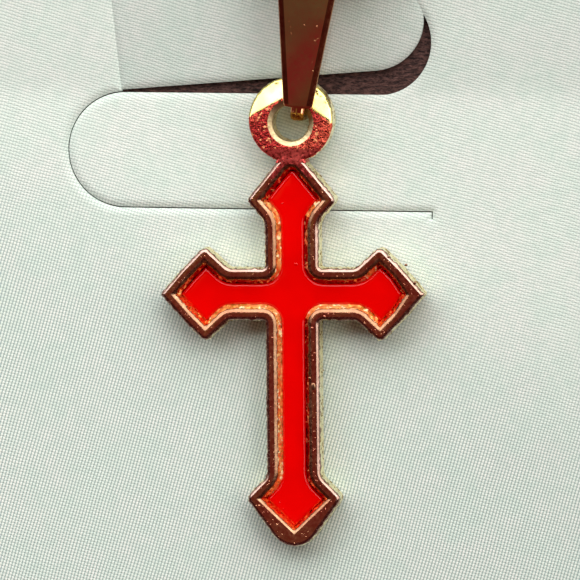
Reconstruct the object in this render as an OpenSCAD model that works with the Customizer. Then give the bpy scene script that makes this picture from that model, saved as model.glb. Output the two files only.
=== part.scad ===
// Cross necklace on a display card.
// Z is up, X runs across the card and Y runs up it, towards the bail.
// The origin is the centre of the card's underside, and sizes are in millimetres.

/* [Cross] */
// Thickness of the casting
cross_t = 1.6; // [1.4:0.1:1.8]
// Half width of the upright bar
upright_half = 1.66; // [1.5:0.02:1.8]
// Half width of the cross bar
cross_bar_half = 1.58; // [1.46:0.02:1.7]
// Radius in the corners where the bars cross
crotch_r = 0.2; // [0.1:0.05:0.4]
// Width of the raised rim
rim_w = 0.53; // [0.45:0.01:0.6]
// Depth of the recess inside the rim
recess_depth = 0.65; // [0.55:0.05:0.75]
// How far the recess walls lean in for each unit of depth
wall_lean = 0.72; // [0.6:0.02:0.9]

/* [Ring on top of the cross] */
// Outer radius
ring_r = 2.58; // [2.4:0.02:2.7]
// Height of its centre above the crossing
ring_y = 10.6; // [10.5:0.05:10.8]
// Radius of the hole
hole_r = 1.14; // [1.1:0.01:1.2]
// Height of the hole's centre above the crossing
hole_y = 10.33; // [10.3:0.01:10.36]
// Width of the sloped lip round the hole
lip_w = 0.22; // [0.1:0.02:0.3]
// Width of the neck below the ring
neck_w = 1.66; // [1.5:0.02:1.8]

/* [Enamel] */
// Thickness of the enamel in the recess
enamel_t = 0.2; // [0.1:0.05:0.3]

/* [Bail] */
// Thickness of the strip
strip_t = 0.45; // [0.4:0.01:0.46]
// Width of each leg at its end
leg_end_w = 1.75; // [1.6:0.05:1.9]
// Width of the strip at the top of the loop
loop_w = 4.35; // [4.2:0.05:4.5]
// Width of the back leg where it meets the loop
back_leg_w = 2.4; // [2.2:0.1:2.8]
// Outer radius of the loop
loop_r = 2; // [1.95:0.05:2.1]
// Length from the prongs to the loop's centre
loop_y = 8.9; // [8.8:0.1:9.2]
// Width of the prongs bent into the ring's hole
prong_w = 0.8; // [0.6:0.05:0.84]
// Height of the front leg's outer side at its end
front_leg_z = 2.76; // [2.75:0.01:2.8]

/* [Chain] */
// Length of the closed necklace along its chain and clasp
necklace_length = 450; // [440:1:460]
// Length of a link
link_length = 2.8; // [2.7:0.05:2.85]
// Width of a link
link_w = 2; // [1.9:0.05:2.1]
// Thickness of the wire
wire_d = 0.34; // [0.3:0.01:0.34]
// Radius of the chain's bend in the bail
bail_bend_r = 8.5; // [8:0.5:10]
// Angle that each side of the chain makes with the bail's length
spread_angle = 25; // [20:1:28]

/* [Card] */
// Width of the card
card_w = 65; // [60:1:75]
// Height of the card
card_h = 85; // [75:1:95]
// Thickness of the backing
backing_t = 2; // [1.5:0.5:2]
// Thickness of the woven face
face_t = 0.5; // [0.4:0.1:0.6]
// Radius of the card's corners
card_corner_r = 1.5; // [1:0.5:4]
// Width of the cut round the tongues
cut_w = 0.14; // [0.1:0.02:0.18]
// Half width of the lower tongue
lower_tongue_r = 3.52; // [3.4:0.02:3.6]
// Half width of the hole that the upper tongue was cut from
upper_tongue_r = 3.23; // [3.15:0.02:3.3]
// Turn of the upper tongue in its hole, in degrees
tongue_turn = 5; // [4:0.1:5.2]

/* [Hidden] */
$fn = 64;

gold = [0.86, 0.66, 0.3];
enamel_red = [0.9, 0.03, 0.02];
woven_pale = [0.82, 0.86, 0.82];
fibre_brown = [0.16, 0.11, 0.1];

// Small gap between pieces that rest on each other
seat_gap = 0.02;
card_t = backing_t + face_t;

// Corners of one side of each arm, from its root to its tip
ALONG = 0;
HALF = 1;
RADIUS = 2;
top_arm = [[4.45, upright_half, 1.2], [5.72, 2.78, 0.35], [9.1, 0, 1.15]];
side_arm = [[3.9, cross_bar_half, 0.6], [5.38, 2.94, 0.4], [6.78, 1.53, 2.5], [8.12, 0, 0.1]];
bottom_arm = [[11.1, upright_half, 0.8], [12.4, 2.96, 0.4], [16.5, 0, 1.58]];
arms = [side_arm, top_arm, side_arm, bottom_arm];
// The half width of the bar that each arm continues, and its direction
arm_bar = [cross_bar_half, upright_half, cross_bar_half, upright_half];
arm_angle = [0, 90, 180, 270];
bottom_reach = 15.35;
// How much each arm's recess stops short of its tip, beyond the rim's width
tip_rim = [0.25, 0, 0, 1];
steps = 4;
least_r = 0.06;

// The pendant's place on the card: its lower tip rests on the card and its ring on the bail
pendant_xy = [2.6, 0.4];
pendant_turn = 0.35;
pendant_tilt = 1.15;
pendant_lift = card_t + seat_gap + bottom_reach * sin(pendant_tilt);

// The bail's place, measured at its prongs, and its lean
bail_xy = [2.97, 10.92];
bail_lean = 5.8;
leg_start = 0.8;
bend_r = 0.5;
front_prong_z = 1.46;
back_prong_z = 1.3;
bail_z = card_t + seat_gap;

// Lines and corners in two dimensions
function unit(v) = v / norm(v);
function shifted_line(a, b, inset) =
    let (d = unit(b - a), n = [d[1], -d[0]]) [n[0], n[1], n * a + inset];
function meet(l, m) =
    let (det = l[0] * m[1] - l[1] * m[0])
    [(l[2] * m[1] - m[2] * l[1]) / det, (l[0] * m[2] - m[0] * l[2]) / det];

// Points of the arc that rounds the corner b between a and c
function rounded_corner(a, b, c, r, count) =
    let (
        ua = unit(a - b),
        uc = unit(c - b),
        half = acos(ua * uc) / 2,
        run = min(r / tan(half), 0.49 * norm(a - b), 0.49 * norm(c - b)),
        radius = run * tan(half),
        centre = b + unit(ua + uc) * radius / sin(half),
        from = b + ua * run - centre,
        to = b + uc * run - centre,
        start = atan2(from[1], from[0]),
        swing = (atan2(to[1], to[0]) - start + 540) % 360 - 180
    )
    [for (k = [0:count]) centre + radius * [cos(start + swing * k / count), sin(start + swing * k / count)]];

// Corners of one arm's side after its edges move inwards
function inset_corners(arm, bar, inset) =
    let (
        points = concat([[0, bar]], [for (c = arm) [c[ALONG], c[HALF]]]),
        lines = [for (k = [0:len(points) - 2]) shifted_line(points[k + 1], points[k], -inset)],
        axis = [0, 1, 0]
    )
    concat([for (k = [1:len(lines) - 1]) meet(lines[k - 1], lines[k])], [meet(lines[len(lines) - 1], axis)]);

// One arm's side as points from the root to the tip, with an inset
function arm_side(arm, bar, inset, tip_inset) =
    let (
        moved = inset_corners(arm, bar, inset),
        last = len(moved) - 1,
        corners = [for (k = [0:last]) k == last ? moved[k] - [tip_inset, 0] : moved[k]],
        before = [0, bar - inset],
        mirrored = [corners[last - 1][0], -corners[last - 1][1]]
    )
    concat(
        [for (k = [0:last - 1])
            let (r = k == 0 ? arm[k][RADIUS] + inset : max(arm[k][RADIUS] - inset, least_r))
            each rounded_corner(k == 0 ? before : corners[k - 1], corners[k], corners[k + 1], r, steps)],
        [for (p = rounded_corner(corners[last - 1], corners[last], mirrored,
                max(arm[last][RADIUS] - inset - tip_inset, least_r), steps)) if (p[1] > -0.0001)
                [p[0], max(p[1], 0)]]
    );

function turned(p, a) = [p[0] * cos(a) - p[1] * sin(a), p[0] * sin(a) + p[1] * cos(a)];

// The whole outline at an inset, with a share of the wider tips: each arm out and back, then the corner
function cross_loop(inset, tip_share = 0) = [
    for (k = [0:3])
        let (
            side = arm_side(arms[k], arm_bar[k], inset, tip_share * tip_rim[k]),
            last = len(side) - 1,
            following = arm_bar[(k + 1) % 4] - inset,
            own = arm_bar[k] - inset
        )
        each concat(
            [for (j = [0:last]) turned([side[j][0], -side[j][1]], arm_angle[k])],
            [for (j = [last - 1:-1:0]) turned(side[j], arm_angle[k])],
            [for (p = rounded_corner([following + 3, own], [following, own], [following, own + 3],
                crotch_r + inset, steps)) turned(p, arm_angle[k])]
        )
];

// How many points each arm's side has, and where each arm starts in the loop
side_count = [for (k = [0:3]) len(arm_side(arms[k], arm_bar[k], 0, 0))];
arm_start = [for (k = 0, start = 0; k < 4; start = start + 2 * side_count[k] + steps, k = k + 1) start];
loop_count = len(cross_loop(0));

// Flat faces that close a loop whose first point is at this index, with a centre point
function cap_faces(first, centre, up) =
    let (faces = concat(
        [for (k = [0:3], j = [0:side_count[k] - 2])
            let (
                out = first + arm_start[k] + j,
                back = first + arm_start[k] + 2 * side_count[k] - 2 - j
            )
            back - 1 == out + 1 ? [out, out + 1, back] : [out, out + 1, back - 1, back]],
        [for (k = [0:3]) [centre, first + arm_start[k], first + arm_start[k] + 2 * side_count[k] - 2]],
        [for (k = [0:3], j = [0:steps + 1])
            let (a = arm_start[k] + 2 * side_count[k] - 2 + j)
            [centre, first + a, first + (a + 1) % loop_count]]
    ))
    up ? [for (f = faces) [for (i = [len(f) - 1:-1:0]) f[i]]] : faces;

// A solid skinned through the cross's outline at each level: height, inset and share of the wider tips
LEVEL_Z = 0;
LEVEL_INSET = 1;
LEVEL_TIP = 2;
module cross_skin(levels) {
    last = len(levels) - 1;
    points = concat(
        [for (l = levels, p = cross_loop(l[LEVEL_INSET], l[LEVEL_TIP])) [p[0], p[1], l[LEVEL_Z]]],
        [[0, 0, levels[0][LEVEL_Z]], [0, 0, levels[last][LEVEL_Z]]]
    );
    walls = [for (l = [0:last - 1], k = [0:loop_count - 1])
        let (a = l * loop_count + k, b = l * loop_count + (k + 1) % loop_count)
        [a, a + loop_count, b + loop_count, b]];
    polyhedron(points, concat(
        walls,
        cap_faces(0, (last + 1) * loop_count, false),
        cap_faces(last * loop_count, (last + 1) * loop_count + 1, true)
    ));
}

// Puts the pendant's own frame, with its back at zero height, on the card
module place_pendant() {
    translate([pendant_xy[0], pendant_xy[1], pendant_lift])
        rotate([0, 0, pendant_turn])
            rotate([pendant_tilt, 0, 0])
                children();
}

// Inset of the recess wall at a height in the pendant's own frame
function wall_inset(z) = rim_w + (cross_t - z) * wall_lean;

// Share of the wider tips at an inset, so that the recess walls keep parallel down to the floor
function tip_share(inset) = 1 - 0.58 * (inset - rim_w);
floor_z = cross_t - recess_depth;
enamel_z = floor_z + enamel_t;

module ring_disc() {
    edge = 0.25;
    rotate_extrude()
        polygon([
            [0, 0], [ring_r - edge / 2, 0], [ring_r, edge / 2], [ring_r, cross_t - edge],
            [ring_r - edge * 0.3, cross_t - edge * 0.3], [ring_r - edge, cross_t], [0, cross_t]
        ]);
}

module ring_hole() {
    translate([0, 0, -1])
        cylinder(r = hole_r, h = cross_t + 2);
    for (side = [0, 1])
        translate([0, 0, side * cross_t])
            mirror([0, 0, side])
                translate([0, 0, -lip_w])
                    cylinder(r1 = hole_r + 2 * lip_w, r2 = hole_r, h = 2 * lip_w);
}

// Cast cross with its rim, recess and ring
module cross_body() {
    neck_y = 8.05;
    neck_h = 0.6;
    color(gold)
        place_pendant()
            difference() {
                union() {
                    cross_skin([
                        [0, 0.1, 0],
                        [0.1, 0, 0],
                        [cross_t - 0.25, 0, 0],
                        [cross_t - 0.08, 0.07, 0],
                        [cross_t, 0.22, 0],
                        [cross_t, rim_w, tip_share(rim_w)],
                        [floor_z, wall_inset(floor_z), tip_share(wall_inset(floor_z))]
                    ]);
                    translate([0, ring_y, 0])
                        ring_disc();
                    translate([-neck_w / 2, neck_y, 0])
                        cube([neck_w, neck_h, cross_t - 0.05]);
                }
                translate([0, hole_y, 0])
                    ring_hole();
            }
}

// Enamel in the bottom of the recess
module enamel() {
    clear = 0.06;
    low = wall_inset(floor_z + seat_gap) + clear;
    top = wall_inset(enamel_z) + clear;
    color(enamel_red)
        place_pendant()
            cross_skin([[floor_z + seat_gap, low, tip_share(low)], [enamel_z, top, tip_share(top)]]);
}

// Side view of the folded strip: along the bail and up
module strip_side() {
    centre = [loop_y, loop_r];
    end = [leg_start, front_leg_z];
    reach = norm(centre - end);
    slope = atan2(centre[1] - end[1], centre[0] - end[0]) + asin(loop_r / reach);
    touch = end + sqrt(reach * reach - loop_r * loop_r) * [cos(slope), sin(slope)];
    down = strip_t * [sin(slope), -cos(slope)];
    difference() {
        union() {
            translate(centre)
                circle(r = loop_r);
            polygon([[leg_start, 0], [loop_y, 0], centre, touch, end]);
        }
        translate(centre)
            circle(r = loop_r - strip_t);
        polygon([
            [leg_start - 1, strip_t], [loop_y, strip_t], centre, touch + down,
            end + down, end + down - [1, tan(slope)]
        ]);
    }
}

// Side view of a prong that leaves a leg at this height and reaches down to the other one
module prong_side(outer_z, tip_z) {
    translate([bend_r, outer_z - bend_r])
        intersection() {
            circle(r = bend_r);
            translate([-bend_r, 0])
                square(bend_r);
        }
    translate([bend_r - 0.01, outer_z - strip_t])
        square([leg_start - bend_r + 0.3, strip_t]);
    translate([0, tip_z])
        square([strip_t, outer_z - bend_r - tip_z]);
}

// Draws a side view upright along the bail, with this width across it
module across_bail(width) {
    translate([-width / 2, 0, 0])
        rotate([90, 0, 90])
            linear_extrude(width)
                children();
}

module place_bail() {
    translate([bail_xy[0], bail_xy[1], bail_z])
        rotate([0, 0, -bail_lean])
            children();
}

// Folded tapered strip with its two ends bent into the ring's hole
module bail() {
    top = loop_y + loop_r;
    color(gold)
        place_bail() {
            intersection() {
                across_bail(loop_w)
                    strip_side();
                union() {
                    translate([0, 0, loop_r])
                        linear_extrude(4)
                            polygon([
                                [-leg_end_w / 2, leg_start], [leg_end_w / 2, leg_start],
                                [loop_w / 2, top], [-loop_w / 2, top]
                            ]);
                    translate([0, 0, -1])
                        linear_extrude(loop_r + 1)
                            polygon([
                                [-prong_w / 2, leg_start], [prong_w / 2, leg_start],
                                [back_leg_w / 2, loop_y], [loop_w / 2, top],
                                [-loop_w / 2, top], [-back_leg_w / 2, loop_y]
                            ]);
                }
            }
            across_bail(prong_w)
                prong_side(front_leg_z, front_prong_z);
            translate([0, 0, back_prong_z])
                mirror([0, 0, 1])
                    across_bail(prong_w)
                        prong_side(back_prong_z, 0);
        }
}

// The necklace's path: a bend in the bail, two straight sides, a wide bend and a straight end at the clasp
clasp_straight = 8;
loop_heading = 90 - spread_angle;
bend_angle = loop_heading * PI / 180;
straight_length = (necklace_length / 2 - clasp_straight - bail_bend_r * PI
    + clasp_straight * (PI - bend_angle) / sin(loop_heading))
    / (1 + (PI - bend_angle) / tan(loop_heading));
back_bend_r = bail_bend_r + straight_length / tan(loop_heading) - clasp_straight / sin(loop_heading);
chain_y = loop_y - 0.3;
chain_in_bail = [bail_xy[0] + chain_y * sin(bail_lean), bail_xy[1] + chain_y * cos(bail_lean)];

// Point on one side of the path, this far along it from the bail
function side_point(s) =
    let (
        s1 = bail_bend_r * bend_angle,
        s2 = s1 + straight_length,
        s3 = necklace_length / 2 - clasp_straight,
        corner = bail_bend_r * [sin(loop_heading), 1 - cos(loop_heading)],
        far_corner = corner + straight_length * [cos(loop_heading), sin(loop_heading)],
        a1 = s / bail_bend_r * 180 / PI,
        a2 = loop_heading + (min(s, s3) - s2) / back_bend_r * 180 / PI,
        on_back = far_corner + back_bend_r * [sin(a2) - sin(loop_heading), cos(loop_heading) - cos(a2)]
    )
    s < s1 ? [bail_bend_r * sin(a1), bail_bend_r * (1 - cos(a1))]
    : s < s2 ? corner + (s - s1) * [cos(loop_heading), sin(loop_heading)]
    : on_back - [max(s - s3, 0), 0];

function smooth(x) = let (t = min(max(x, 0), 1)) t * t * (3 - 2 * t);

// Heights of the chain's centre: on the card, over the bail's back leg, and raised at the clasp
chain_half_height = (link_w - wire_d) / 2 * sin(45) + wire_d * sin(45);
chain_rest_z = chain_half_height + seat_gap;
bail_lift = strip_t + 0.2;
// The chain leaves the card's edge after this and is down after the fall's length
fall_start = 0.6;
fall_length = 15;
// It is level for this far each side of the bail, and on the card again after the second length
bail_flat = 2.4;
bail_fall = 7;
function fall(x) = let (t = min(max(x, 0), 1)) pow(1 - t, 3) * (1 + 3 * t);

ring_major = 1.7;
ring_wire_r = 0.2;
ring_z = ring_major * sin(45) + ring_wire_r + seat_gap;
clasp_t = 0.8;
clasp_z = 0.8;
clasp_mid_z = clasp_z + clasp_t / 2;

function path_flat(s) =
    let (p = side_point(abs(s)))
    chain_in_bail + turned([sign(s) * p[0], p[1]], -bail_lean);

function path_point(s) =
    let (
        p = path_flat(s),
        on_card = fall((p[1] - card_h / 2 - fall_start) / fall_length),
        in_bail = 1 - smooth((abs(s) - bail_flat) / bail_fall),
        end_z = s < 0 ? ring_z : clasp_mid_z,
        at_end = smooth((abs(s) - necklace_length / 2 + 2 * clasp_straight) / clasp_straight)
    )
    [p[0], p[1], chain_rest_z + on_card * card_t + in_bail * bail_lift + at_end * (end_z - chain_rest_z)];

// The closing parts lie on the path between the chain's two end links
clasp_end_s = necklace_length / 2 - 7;
ring_end_s = -(necklace_length / 2 - 5.1);
longest_pitch = 1.88;
link_count = ceil((clasp_end_s - ring_end_s) / longest_pitch) + 1;
link_pitch = (clasp_end_s - ring_end_s) / (link_count - 1);

// Moves a thing that lies along X to the path, with its roll about the path
module on_path(s, roll) {
    p = path_point(s);
    d = unit(path_point(s + 0.05) - path_point(s - 0.05));
    translate(p)
        rotate([0, -asin(d[2]), atan2(d[1], d[0])])
            rotate([roll, 0, 0])
                children();
}

// Flat oval that lies along X
module oval(length, width) {
    straight = length - width;
    square([straight, width], center = true);
    for (side = [-1, 1])
        translate([side * straight / 2, 0])
            circle(d = width);
}

// Oval link of square wire that lies along X
module link() {
    linear_extrude(wire_d, center = true)
        difference() {
            oval(link_length, link_w);
            oval(link_length - 2 * wire_d, link_w - 2 * wire_d);
        }
}

module chain() {
    color(gold)
        for (k = [0:link_count - 1])
            on_path(ring_end_s + k * link_pitch, k % 2 == 0 ? 45 : -45)
                link();
}

// The clasp's own frame: X runs along the path, from the chain to the end ring
module place_clasp() {
    apex = path_flat(necklace_length / 2);
    translate([apex[0], apex[1], 0])
        rotate([0, 0, 180 - bail_lean])
            children();
}

// The clasp's eye, and the loop's rear and front ends with their radii
tail_major = 0.95;
tail_wire_r = 0.28;
tail_x = -5.43;
clasp_rear = -4.75;
clasp_rear_r = 1.4;
clasp_front = 3.3;
clasp_front_r = 2.2;
clasp_bar = 0.7;
solid_rear = 2.6;
end_ring_x = 2.75;

// Outline of a round-nosed loop that narrows to the rear
module clasp_outline(inset) {
    rear_r = clasp_rear_r - inset;
    front_r = clasp_front_r - inset;
    rear = clasp_rear + clasp_rear_r;
    front = clasp_front - clasp_front_r;
    lean = asin((front_r - rear_r) / (front - rear));
    translate([rear, 0])
        circle(r = rear_r);
    translate([front, 0])
        circle(r = front_r);
    polygon([
        for (end = [[rear, rear_r, 1], [front, front_r, 1], [front, front_r, -1], [rear, rear_r, -1]])
            [end[0] - end[1] * sin(lean), end[2] * end[1] * cos(lean)]
    ]);
}

// Closed clasp in one piece, with an eye for the chain at its rear
module clasp() {
    color(gold)
        place_clasp() {
            translate([0, 0, clasp_z])
                linear_extrude(clasp_t)
                    difference() {
                        clasp_outline(0);
                        difference() {
                            clasp_outline(clasp_bar);
                            translate([clasp_rear, -clasp_front_r])
                                square([solid_rear, 2 * clasp_front_r]);
                        }
                    }
            translate([tail_x, 0, clasp_mid_z])
                rotate([45, 0, 0])
                    rotate_extrude()
                        translate([tail_major, 0])
                            circle(r = tail_wire_r);
        }
}

// Ring on the chain's other end, through the clasp's loop
module end_ring() {
    color(gold)
        place_clasp()
            translate([end_ring_x, 0, ring_z])
                rotate([-45, 0, 0])
                    rotate_extrude()
                        translate([ring_major, 0])
                            circle(r = ring_wire_r);
}

// Plan of the card with rounded corners
module card_plan() {
    x = card_w / 2;
    y = card_h / 2;
    r = card_corner_r;
    translate([-x + r, -y])
        square([card_w - 2 * r, card_h]);
    translate([-x, -y + r])
        square([card_w, card_h - 2 * r]);
    for (a = [-1, 1], b = [-1, 1])
        translate([a * (x - r), b * (y - r)])
            circle(r = r);
}

// The two tongues share the cut along this height, before the whole cut's small turn on the card
cut_y = 12.49;
cut_turn = -0.55;
lower_end_x = -7.93;
upper_end_x = 7.58;
upper_tongue_end_x = 7.22;
cut_reach = 10.97;
far_reach = 11.5;
hook = 0.45;
upper_root = [-9, cut_y + upper_tongue_r];

// Round-ended tongue from a round end to a straight one
module tongue_plan(end_x, far_x, y, r) {
    translate([end_x, y])
        circle(r = r);
    translate([min(end_x, far_x), y - r])
        square([abs(far_x - end_x), 2 * r]);
}

// The hole in the face that the upper tongue fills in part
module upper_hole() {
    difference() {
        tongue_plan(upper_end_x, -far_reach, cut_y + upper_tongue_r, upper_tongue_r);
        polygon([
            [-far_reach - 1, cut_y + 2 * upper_tongue_r - cut_w], [-far_reach, cut_y + 2 * upper_tongue_r - cut_w],
            [lower_end_x - 0.4, cut_y], [lower_end_x - 0.4, cut_y - 1], [-far_reach - 1, cut_y - 1]
        ]);
    }
}

// The thin cut round the lower tongue
module lower_cut() {
    y = cut_y - lower_tongue_r;
    difference() {
        tongue_plan(lower_end_x, cut_reach, y, lower_tongue_r);
        tongue_plan(lower_end_x, cut_reach + 1, y, lower_tongue_r - cut_w);
        translate([upper_end_x, cut_y - cut_w - 1])
            square([cut_reach, cut_w + 2]);
    }
    translate([cut_reach - cut_w, cut_y - 2 * lower_tongue_r - hook])
        square([cut_w, hook + cut_w / 2]);
}

module turned_cut() {
    translate([0, cut_y])
        rotate([0, 0, cut_turn])
            translate([0, -cut_y])
                children();
}

// Pale face with its S-shaped cut and two tongues
module card_face() {
    color(woven_pale)
        translate([0, 0, backing_t])
            linear_extrude(face_t) {
                difference() {
                    card_plan();
                    turned_cut() {
                        upper_hole();
                        lower_cut();
                    }
                }
                turned_cut() intersection() {
                    translate(upper_root)
                        rotate([0, 0, tongue_turn])
                            translate(-upper_root)
                                tongue_plan(upper_tongue_end_x, -far_reach, upper_root[1], upper_tongue_r - cut_w);
                    tongue_plan(upper_end_x, -far_reach, upper_root[1], upper_tongue_r - cut_w);
                }
            }
}

module card_backing() {
    color(fibre_brown)
        linear_extrude(backing_t)
            card_plan();
}

cross_body();
enamel();
bail();
chain();
clasp();
end_ring();
card_face();
card_backing();
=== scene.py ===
"""Cross necklace on a display card: the looks of every piece, the light and the camera.

Lengths are in millimetres until a mesh is made. Z is up, X runs across the card and Y up it.
"""
from math import acos, asin, atan2, ceil, copysign, cos, degrees, exp, log1p, pi, radians, sin, sqrt, tan

import bmesh
import bpy
import numpy as np
from mathutils import Matrix, Vector, noise
from mathutils.geometry import delaunay_2d_cdt
from numpy.linalg import norm

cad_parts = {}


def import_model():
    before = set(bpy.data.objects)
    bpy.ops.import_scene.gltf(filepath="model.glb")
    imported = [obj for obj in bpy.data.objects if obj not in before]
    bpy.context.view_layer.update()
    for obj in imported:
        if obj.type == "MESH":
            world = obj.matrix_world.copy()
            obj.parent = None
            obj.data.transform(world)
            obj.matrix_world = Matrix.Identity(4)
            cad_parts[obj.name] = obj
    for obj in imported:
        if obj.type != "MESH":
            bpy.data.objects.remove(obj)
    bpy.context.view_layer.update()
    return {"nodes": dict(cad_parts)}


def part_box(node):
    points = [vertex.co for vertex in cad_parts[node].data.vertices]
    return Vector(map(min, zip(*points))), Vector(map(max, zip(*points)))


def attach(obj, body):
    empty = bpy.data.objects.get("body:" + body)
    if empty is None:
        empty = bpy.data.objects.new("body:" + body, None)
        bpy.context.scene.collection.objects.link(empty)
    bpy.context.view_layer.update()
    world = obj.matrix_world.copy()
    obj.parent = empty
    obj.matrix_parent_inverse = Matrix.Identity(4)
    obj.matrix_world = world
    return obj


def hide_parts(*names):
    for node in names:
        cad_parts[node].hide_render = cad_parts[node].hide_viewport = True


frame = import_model()

MM = 0.001


def high(node):
    """Highest level of a CAD node, in millimetres."""
    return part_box(node)[1][2] / MM


# The corners of a rectangle: signs of x and y, and the angle at which the corner's rounding starts
CORNERS = [(1, 1, 0), (-1, 1, 90), (-1, -1, 180), (1, -1, 270)]

# The card
CARD_W, CARD_H = 65, 85
CARD_R = 1.5
BACKING_T = high("card_backing")
CARD_T = high("card_face")
SEAT_GAP = 0.02

# The pendant, the same corners as the solids: distance along the arm, half width, corner radius
CROSS_T = 1.6
UPRIGHT_HALF, CROSS_BAR_HALF = 1.66, 1.58
CROTCH_R = 0.2
RIM_W = 0.53
RECESS_DEPTH = 0.65
FLOOR_Z = CROSS_T - RECESS_DEPTH
WALL_LEAN = 0.72
TOP_ARM = [(4.45, UPRIGHT_HALF, 1.2), (5.72, 2.78, 0.35), (9.1, 0, 1.15)]
SIDE_ARM = [(3.9, CROSS_BAR_HALF, 0.6), (5.38, 2.94, 0.4), (6.78, 1.53, 2.5), (8.12, 0, 0.1)]
BOTTOM_ARM = [(11.1, UPRIGHT_HALF, 0.8), (12.4, 2.96, 0.4), (16.5, 0, 1.58)]
ARMS = [SIDE_ARM, TOP_ARM, SIDE_ARM, BOTTOM_ARM]
ARM_BAR = [CROSS_BAR_HALF, UPRIGHT_HALF, CROSS_BAR_HALF, UPRIGHT_HALF]
# How much wider the rim is at each arm's tip
TIP_RIM = [0.25, 0, 0, 1]
LEAST_R = 0.06
RING_R, RING_Y = 2.58, 10.6
# The hole, a little narrower and higher than the solid's
HOLE_R, HOLE_Y = 1.09, 10.42
NECK_W, NECK_LOW, NECK_TOP = 1.66, 8.02, 8.8
BOTTOM_REACH = 15.35
PENDANT_XY = (2.6, 0.4)
PENDANT_TURN, PENDANT_TILT = 0.35, 1.15
PENDANT_LIFT = CARD_T + SEAT_GAP + BOTTOM_REACH * sin(radians(PENDANT_TILT))

# The bail
BAIL_XY = (2.97, 10.92)
BAIL_LEAN = 5.8
STRIP_T = 0.45
LEG_END_W, LOOP_W, BACK_LEG_W = 1.75, 4.35, 2.4
LOOP_R, LOOP_Y = 2.0, 8.9
PRONG_W = 0.8
LEG_START = 0.8
BEND_R = 0.5
FRONT_LEG_Z, FRONT_PRONG_Z, BACK_PRONG_Z = 2.76, 1.46, 1.3

# The chain's path and its closing parts; a link and the end ring lean by LINK_ROLL
NECKLACE_LENGTH = 450
LINK_LENGTH, LINK_W, WIRE_D = 2.8, 2.0, 0.34
LINK_ROLL = 45
BAIL_BEND_R, SPREAD_ANGLE = 8.5, 25
CLASP_STRAIGHT = 8
CLASP_GAP, RING_GAP = 7, 5.1
CHAIN_Y = LOOP_Y - 0.3
LONGEST_PITCH = 1.88
CLASP_T, CLASP_Z = 0.8, 0.8
RING_MAJOR, RING_WIRE_R = 1.7, 0.2

# The S-shaped cut
CUT_Y = 12.49
CUT_TURN = -0.55
CUT_REACH = 10.97
LOWER_TONGUE_R, UPPER_TONGUE_R = 3.52, 3.23
LOWER_END_X, UPPER_END_X, UPPER_TONGUE_END_X = -7.93, 7.58, 7.22
TONGUE_TURN = 5
UPPER_ROOT = (-9, CUT_Y + UPPER_TONGUE_R)
CREASE_X = -8.2
HOOK = 0.45


# Small geometry helpers

def xy(x, y):
    return np.array([x, y])


def unit(v):
    return v / norm(v)


def turned(p, angle):
    a = radians(angle)
    return xy(p[0] * cos(a) - p[1] * sin(a), p[0] * sin(a) + p[1] * cos(a))


def arc(centre, r, start, end, count):
    """Points of an arc between two angles in degrees."""
    angles = np.linspace(start, end, count + 1)
    return [xy(centre[0] + r * cos(radians(a)), centre[1] + r * sin(radians(a))) for a in angles]


def closed_line(loop):
    """A loop as an array of points that ends where it starts."""
    loop = np.asarray(loop)
    return np.vstack([loop, loop[:1]])


def between(a, b, n):
    """Points that part the line from a to b in n."""
    return [a + (b - a) * k / n for k in range(1, n)]


def resampled(points, step, closed=False):
    """The polyline with points no further apart than step."""
    out = []
    ends = list(points[1:]) + ([points[0]] if closed else [])
    for a, b in zip(points, ends):
        n = max(1, ceil(norm(b - a) / step))
        out += [a] + between(a, b, n)
    return out if closed else out + [points[-1]]


# How many points are measured at once
CHUNK = 2000


def inside(points, loop):
    """Which points lie inside a closed loop."""
    loop = np.asarray(loop)
    a, b = loop, np.roll(loop, -1, axis=0)
    hit = np.zeros(len(points), bool)
    for part in range(0, len(points), CHUNK):
        p = points[part:part + CHUNK]
        x, y = p[:, :1], p[:, 1:]
        crosses = (a[:, 1] > y) != (b[:, 1] > y)
        rise = np.where(b[:, 1] == a[:, 1], 1e-12, b[:, 1] - a[:, 1])
        left = x < (b[:, 0] - a[:, 0]) * (y - a[:, 1]) / rise + a[:, 0]
        hit[part:part + CHUNK] = (np.sum(crosses & left, axis=1) % 2).astype(bool)
    return hit


def distance_to(points, line):
    """Distance of each point from a polyline."""
    line = np.asarray(line)
    a, d = line[:-1], np.diff(line, axis=0)
    length = np.maximum(np.sum(d * d, axis=1), 1e-12)
    out = np.empty(len(points))
    for part in range(0, len(points), CHUNK):
        p = points[part:part + CHUNK, None, :] - a
        t = np.clip(np.sum(p * d, axis=2) / length, 0, 1)
        out[part:part + CHUNK] = np.sqrt(np.min(np.sum((p - t[:, :, None] * d) ** 2, axis=2), axis=1))
    return out


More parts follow.
